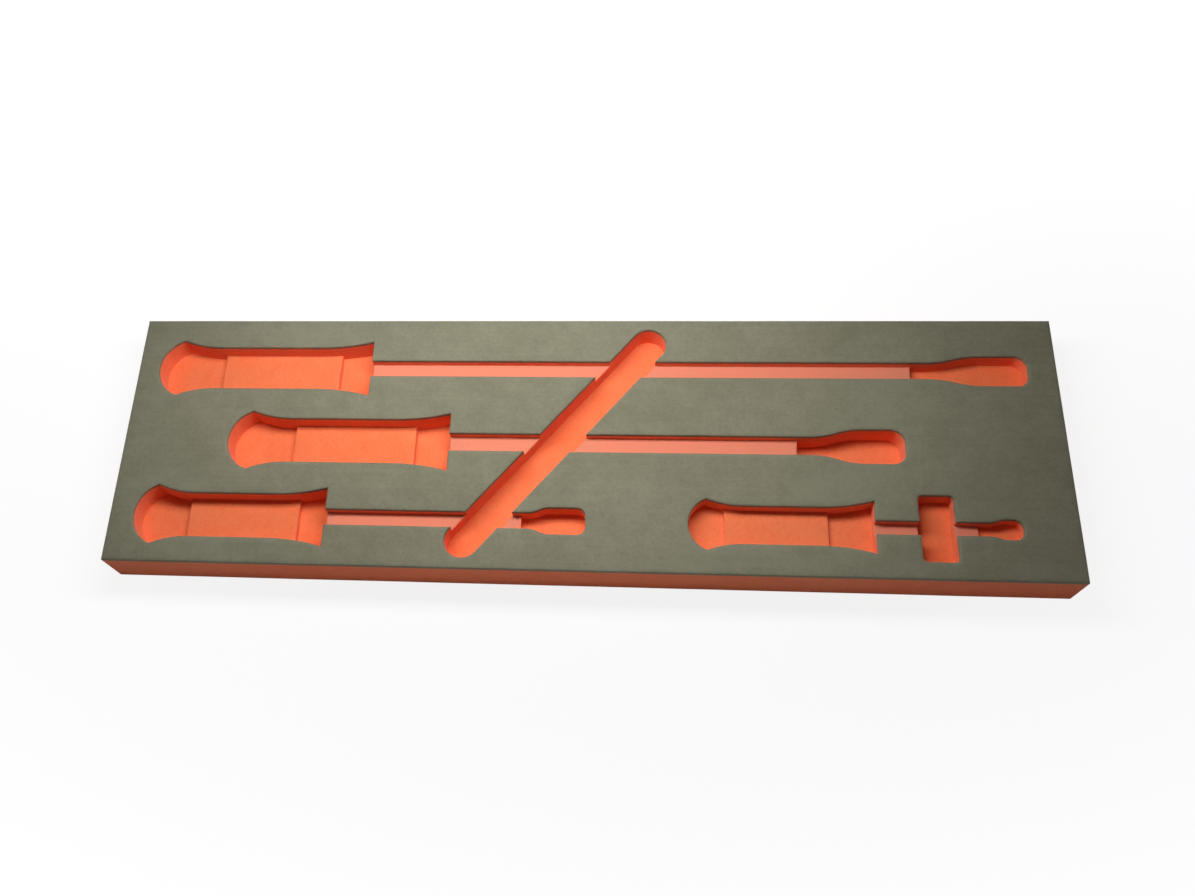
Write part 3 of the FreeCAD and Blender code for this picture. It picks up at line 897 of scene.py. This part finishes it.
@dataclass
class Sheet:
    """One layer of the insert, built over the solid of the same name.

    Attributes:
        node: The solid's name.
        slot: The record's material slot. Not used.
        finish: What the layer is made of.
        lip: How its free upper edges are finished.
        grid: Spacing of the points inside the face.
        wave: How far the walls wander.
        wave_seed: Where in the noise the waves are read, the same for all sheets.
        rows: How far from each edge the rows of points beside it run.
        row_clearance: Share of that distance that a row's point keeps from every edge.
        grid_clearance: Share of a grid step that the grid keeps from the last row.
        grid_pitch: Share of a grid step from one line of the grid to the next.
        grid_start: Shares of a grid step at which even and odd lines begin.
        sink_reach: Distance from an edge at which the face has risen again by almost two thirds.
        same_edge: Edges of two layers within this of each other are one wall.
        tolerance: Plan points this near to each other are one, in millimetres.
        sharp: Angle in degrees from which on an edge stays sharp.
        outline: The layer's plan.
    """

    node: str
    slot: Slot
    finish: FoamFinish | SeamFinish
    lip: Lip
    grid: float
    wave: float = 0.22 * MM
    wave_seed: int = 3
    rows: Pair = (1.5 * MM, 3.2 * MM)
    row_clearance: float = 0.92
    grid_clearance: float = 0.45
    grid_pitch: float = 0.866
    grid_start: Pair = (0.25, 0.75)
    sink_reach: float = 1.6 * MM
    same_edge: float = 0.3 * MM
    tolerance: float = 1e-5
    sharp: float = 40.0
    outline: Outline = field(init=False)

    def __post_init__(self) -> None:
        """Read the layer's plan."""
        self.outline = Outline(self.node)

    def build(
        self, tree: SheetTree, material: bpy.types.Material, above: "Sheet | None"
    ) -> bpy.types.Object:
        """Make the layer's mesh and dress it.

        Args:
            tree: The node tree for soft sheets.
            material: The layer's material.
            above: The next layer up, which covers most of this one, or None.

        Returns:
            The finished piece.
        """
        piece = bpy.data.objects.new(f"soft_{self.node}", self._flat_mesh(above))
        bpy.context.scene.collection.objects.link(piece)
        shape = LIP_SHAPES[self.lip]
        tree.apply(
            piece,
            Bottom_height=self.outline.bottom,
            Lip_radius=shape.radius,
            Edge_sink=shape.sink,
            Face_relief=shape.relief,
            Wall_wave=self.wave,
            Wave_seed=self.wave_seed,
            Finish=material,
        )
        self._smooth(piece.data)
        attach(piece, "root")
        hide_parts(self.node)
        return piece

    def _flat_mesh(self, above: "Sheet | None") -> bpy.types.Mesh:
        """Triangulate the plan at the height of the upper face.

        Args:
            above: The next layer up, or None.

        Returns:
            A flat mesh whose points know their way out, their lip and how near an edge they are.
        """
        rim, outward, edges = [], [], []
        for loop in self.outline.loops:
            start = len(rim)
            rim += list(loop)
            outward += list(self.outline.outward(loop))
            edges += [(start + step, start + (step + 1) % len(loop)) for step in range(len(loop))]
        plan = [Vector((point[0] / MM, point[1] / MM)) for point in rim + self._inner_points()]
        places, _, faces, origins, _, _ = delaunay_2d_cdt(plan, edges, [], 0, self.tolerance)
        middles = [[sum(places[i][axis] for i in face) / 3 * MM for axis in (0, 1)] for face in faces]
        solid = self.outline.holds(np.array(middles))
        faces = [face for face, kept in zip(faces, solid) if kept]

        mesh = bpy.data.meshes.new(self.node)
        mesh.from_pydata([(place.x * MM, place.y * MM, self.outline.top) for place in places], [], faces)
        way_out = np.zeros((len(places), 3))
        lips = np.zeros(len(places))
        near = np.zeros(len(places))
        covered = self._covered(rim, above)
        for number, (place, origin) in enumerate(zip(places, origins)):
            if origin and origin[0] < len(rim):
                way_out[number, :2] = outward[origin[0]]
                lips[number] = 0.0 if covered[origin[0]] else 1.0
                near[number] = lips[number]
            else:
                distance = self.outline.distance(place.x * MM, place.y * MM)
                near[number] = math.exp(-distance / self.sink_reach)
        for name, kind, key, values in (
            ("edge_out", "FLOAT_VECTOR", "vector", way_out.ravel()),
            ("edge_lip", "FLOAT", "value", lips),
            ("edge_near", "FLOAT", "value", near),
        ):
            attribute = mesh.attributes.new(name, kind, "POINT")
            attribute.data.foreach_set(key, values.astype(np.float32))
        self._drop_loose(mesh)
        return mesh

    def _inner_points(self) -> list[np.ndarray]:
        """Spread points over the face, in rows beside the edges and on a grid further in.

        Returns:
            Plan points.
        """
        chosen = []
        for away in self.rows:
            for loop in self.outline.loops:
                for point in loop - self.outline.outward(loop) * away:
                    if self.outline.distance(point[0], point[1]) > self.row_clearance * away:
                        chosen.append(point)
        clearance = self.rows[-1] + self.grid_clearance * self.grid
        low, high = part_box(self.node)
        line = 0
        y = low.y + self.grid / 2
        while y < high.y:
            x = low.x + self.grid * self.grid_start[line % 2]
            while x < high.x:
                if self.outline.distance(x, y) > clearance:
                    chosen.append(np.array([x, y]))
                x += self.grid
            y += self.grid * self.grid_pitch
            line += 1
        solid = self.outline.holds(np.array(chosen))
        return [point for point, kept in zip(chosen, solid) if kept]

    def _covered(self, points: list[np.ndarray], above: "Sheet | None") -> list[bool]:
        """Find where a wall runs on upwards, because the next layer's edge lies right over this one's.

        Args:
            points: Points of this layer's edges.
            above: The next layer up, or None.

        Returns:
            True for each point under the next layer's own edge.
        """
        if above is None:
            return [False] * len(points)
        return [above.outline.distance(point[0], point[1]) < self.same_edge for point in points]

    @staticmethod
    def _drop_loose(mesh: bpy.types.Mesh) -> None:
        """Remove points that no face uses.

        Args:
            mesh: The mesh.
        """
        work = bmesh.new()
        work.from_mesh(mesh)
        loose = [vertex for vertex in work.verts if not vertex.link_faces]
        bmesh.ops.delete(work, geom=loose, context="VERTS")
        work.to_mesh(mesh)
        work.free()

    def _smooth(self, mesh: bpy.types.Mesh) -> None:
        """Turn all faces outwards and shade the rounded edges smoothly.

        Args:
            mesh: The mesh.
        """
        work = bmesh.new()
        work.from_mesh(mesh)
        bmesh.ops.recalc_face_normals(work, faces=work.faces)
        for face in work.faces:
            face.smooth = True
        for edge in work.edges:
            edge.smooth = edge.calc_face_angle(0.0) < math.radians(self.sharp)
        work.to_mesh(mesh)
        work.free()


@dataclass
class FoamInsert:
    """The whole insert: a slab, four cut sheets and a skin, with a thin seam between each two.

    Attributes:
        slab_grid: Spacing of the points inside the slab's face.
        cut_grid: The same for the cut sheets.
        skin_grid: The same for the skin.
        seam_grid: The same for the seams, which are covered but for their edges.
        sheets: The layers from the bottom up.
    """

    slab_grid: float = 6 * MM
    cut_grid: float = 7 * MM
    skin_grid: float = 4 * MM
    seam_grid: float = 40 * MM
    sheets: list[Sheet] = field(init=False, default_factory=list)

    def __post_init__(self) -> None:
        """List the layers from the bottom up."""
        self.sheets.append(Sheet("base_slab", Slot.RED_FOAM, RED_FOAM, Lip.STEP, self.slab_grid))
        for name, finish in (
            ("pommel_sheet", RED_FOAM),
            ("large_grip_sheet", RED_FOAM),
            ("small_grip_sheet", PALE_TOP_FOAM),
            ("shaft_sheet", RED_FOAM),
        ):
            self.sheets.append(self._seam_under(name))
            self.sheets.append(Sheet(name, Slot.RED_FOAM, finish, Lip.STEP, self.cut_grid))
        self.sheets.append(self._seam_under("top_skin"))
        self.sheets.append(Sheet("top_skin", Slot.DARK_FOAM, DARK_FOAM, Lip.SKIN, self.skin_grid))

    def _seam_under(self, name: str) -> Sheet:
        """Give the seam under a layer."""
        return Sheet(f"{name}_bond_film", Slot.BOND_FILM, SEAM, Lip.FLUSH, self.seam_grid)

    def build(self) -> list[bpy.types.Object]:
        """Make every layer.

        Returns:
            The pieces, from the bottom up.
        """
        tree = SheetTree()
        materials = {finish.name: finish.make() for finish in (RED_FOAM, DARK_FOAM, SEAM, PALE_TOP_FOAM)}
        pieces = []
        for sheet, above in zip(self.sheets, [*self.sheets[1:], None]):
            piece = sheet.build(tree, materials[sheet.finish.name], above)
            LOG.info("%s: %d faces", piece.name, len(piece.data.polygons))
            pieces.append(piece)
        return pieces


@dataclass(frozen=True)
class Lamp:
    """A flat soft lamp.

    Attributes:
        name: Its name.
        place: Where its middle is.
        aim: The point it faces.
        size: Its width and height.
        power: Its power in watts.
    """

    name: str
    place: Place
    aim: Place
    size: Pair
    power: float

    def hang(self) -> None:
        """Add the lamp, out of the camera's sight."""
        data = bpy.data.lights.new(self.name, "AREA")
        data.shape = "RECTANGLE"
        data.size, data.size_y = self.size
        data.energy = self.power
        lamp = bpy.data.objects.new(self.name, data)
        bpy.context.scene.collection.objects.link(lamp)
        facing = (Vector(self.aim) - Vector(self.place)).to_track_quat("-Z", "Y")
        lamp.matrix_world = Matrix.LocRotScale(Vector(self.place), facing, None)
        lamp.visible_camera = False


@dataclass
class Studio:
    """Floor, light and camera.

    Attributes:
        camera_place: Where the camera stands.
        pitch: Its tilt from straight down, in degrees.
        yaw: Its turn about the vertical, in degrees.
        roll: Its turn about its own axis, in degrees.
        focal_share: Focal length as a share of the picture's width.
        shift: How far the picture's middle lies from the camera's axis, as a share of the width.
        sensor_width: Width of the camera's sensor in millimetres.
        clip_start: How near to the camera things are still seen.
        lamp_place: Where the lamp hangs.
        lamp_size: Its length and width.
        lamp_power: Its power in watts.
        side_away: How far from the insert the four low lamps stand.
        side_height: Their height above the floor.
        side_size: Their width and height.
        front_power: The power of the front one in watts.
        side_power: The power of each other one in watts.
        fill: Strength of the light from all round.
        floor_half: Half the floor's length and width.
        floor_height: The floor's height, just below the insert.
        floor_paint: The floor's brightness to rays that gather light, and to rays that look at it.
        floor_roughness: Its roughness.
        glow_stretch: What distances along X, Y and Z are multiplied by for the glow.
        glow_range: Distances from the middle where the glow begins to rise and where it has risen.
        glow: Its strength near the insert and far from it.
    """

    camera_place: Place = (0.0333, -0.3129, 0.7370)
    pitch: float = 24.33
    yaw: float = 15.5
    roll: float = -13.47
    focal_share: float = 1127.4 / PICTURE_WIDTH
    shift: float = 97.5 / PICTURE_WIDTH
    sensor_width: float = 36.0
    clip_start: float = 0.01
    lamp_place: Place = (-0.057, 0.066, 0.352)
    lamp_size: Pair = (0.42, 0.1)
    lamp_power: float = 1.57
    side_away: float = 1.1
    side_height: float = 0.14
    side_size: Pair = (1.0, 0.2)
    front_power: float = 0.6
    side_power: float = 2.2
    fill: float = 0.04
    floor_half: float = 4.0
    floor_height: float = -0.3 * MM
    floor_paint: Pair = (0.75, 0.2)
    floor_roughness: float = 0.9
    glow_stretch: Triple = (0.55, 1.0, 0.0)
    glow_range: Pair = (0.1, 0.45)
    glow: Pair = (0.86, 0.98)

    def build(self) -> None:
        """Set up the stage."""
        self._floor()
        self._light()
        self._camera()
        bpy.context.scene.view_settings.view_transform = "Standard"

    def _floor(self) -> None:
        """Lay a plain pale floor that runs on into a white backdrop."""
        mesh = bpy.data.meshes.new("floor")
        half = self.floor_half
        corners = [(-half, -half), (half, -half), (half, half), (-half, half)]
        mesh.from_pydata([(x, y, self.floor_height) for x, y in corners], [], [(0, 1, 2, 3)])
        floor = bpy.data.objects.new("floor", mesh)
        bpy.context.scene.collection.objects.link(floor)
        mesh.materials.append(self._floor_material())

    def _floor_material(self) -> bpy.types.Material:
        """Make the floor pale paint for rays that gather light, and let it glow for rays that look at it.

        Returns:
            The material.
        """
        material = bpy.data.materials.new("pale_floor")
        maker = emptied(material)
        away = maker.add("ShaderNodeVectorMath", operation="LENGTH")
        place = maker.add("ShaderNodeTexCoord").outputs["Object"]
        maker.plug(away.inputs[0], maker.vector("MULTIPLY", place, self.glow_stretch))
        backdrop = maker.spread(away.outputs["Value"], self.glow_range, self.glow, smooth=True)
        seen = self._seen_plainly(maker)
        matte = maker.add("ShaderNodeBsdfDiffuse")
        maker.feed(matte, Color=maker.spread(seen, wanted=self.floor_paint), Roughness=self.floor_roughness)
        glow = maker.add("ShaderNodeEmission")
        maker.feed(glow, Color=WHITE, Strength=maker.math("MULTIPLY", seen, backdrop))
        both = maker.add("ShaderNodeAddShader")
        for socket, shader in zip(both.inputs, (matte, glow)):
            maker.plug(socket, shader.outputs[0])
        maker.feed(maker.add("ShaderNodeOutputMaterial"), Surface=both.outputs[0])
        return material

    @staticmethod
    def _seen_plainly(maker: TreeMaker) -> Output:
        """Tell rays that look at the background from rays that only gather light.

        Args:
            maker: The node maker of the floor or the world.

        Returns:
            1 for the camera, a mirror image or a view through glass, else 0.
        """
        path = maker.add("ShaderNodeLightPath").outputs
        looked = maker.math("MAXIMUM", path["Is Camera Ray"], path["Is Glossy Ray"])
        return maker.math("MAXIMUM", looked, path["Is Transmission Ray"])

    def _light(self) -> None:
        """Hang a wide soft lamp over the insert, stand a low one at each side and fill in from all round."""
        below = (self.lamp_place[0], self.lamp_place[1], 0.0)
        Lamp("lamp_over", self.lamp_place, below, self.lamp_size, self.lamp_power).hang()
        for side in Side:
            along, across = side.value
            reach = self.side_away + SOLIDS_BOX[1][0 if along else 1]
            place = (along * reach, across * reach, self.side_height)
            aim = (0.0, 0.0, self.side_height)
            power = self.front_power if side is Side.FRONT else self.side_power
            Lamp(f"lamp_{side.name.lower()}", place, aim, self.side_size, power).hang()
        world = bpy.data.worlds.new("studio")
        bpy.context.scene.world = world
        maker = emptied(world)
        sky = maker.add("ShaderNodeBackground")
        strength = maker.spread(self._seen_plainly(maker), wanted=(self.fill, 1.0))
        maker.feed(sky, Color=WHITE, Strength=strength)
        maker.feed(maker.add("ShaderNodeOutputWorld"), Surface=sky.outputs[0])

    def _camera(self) -> None:
        """Place the camera where the photograph was taken from."""
        data = bpy.data.cameras.new("camera")
        data.sensor_width = self.sensor_width
        data.lens = self.focal_share * self.sensor_width
        data.shift_x = self.shift
        data.clip_start = self.clip_start
        camera = bpy.data.objects.new("camera", data)
        bpy.context.scene.collection.objects.link(camera)
        turn = (
            Matrix.Rotation(math.radians(self.yaw), 4, "Z")
            @ Matrix.Rotation(math.radians(self.pitch), 4, "X")
            @ Matrix.Rotation(math.radians(self.roll), 4, "Z")
        )
        camera.matrix_world = Matrix.Translation(self.camera_place) @ turn
        bpy.context.scene.camera = camera


def main() -> None:
    """Build the insert, then the studio round it."""
    logging.basicConfig(level=logging.INFO, format="%(name)s: %(message)s")
    pieces = FoamInsert().build()
    LOG.info("%d pieces in all", len(pieces))
    Studio().build()


if __name__ == "__main__":
    main()
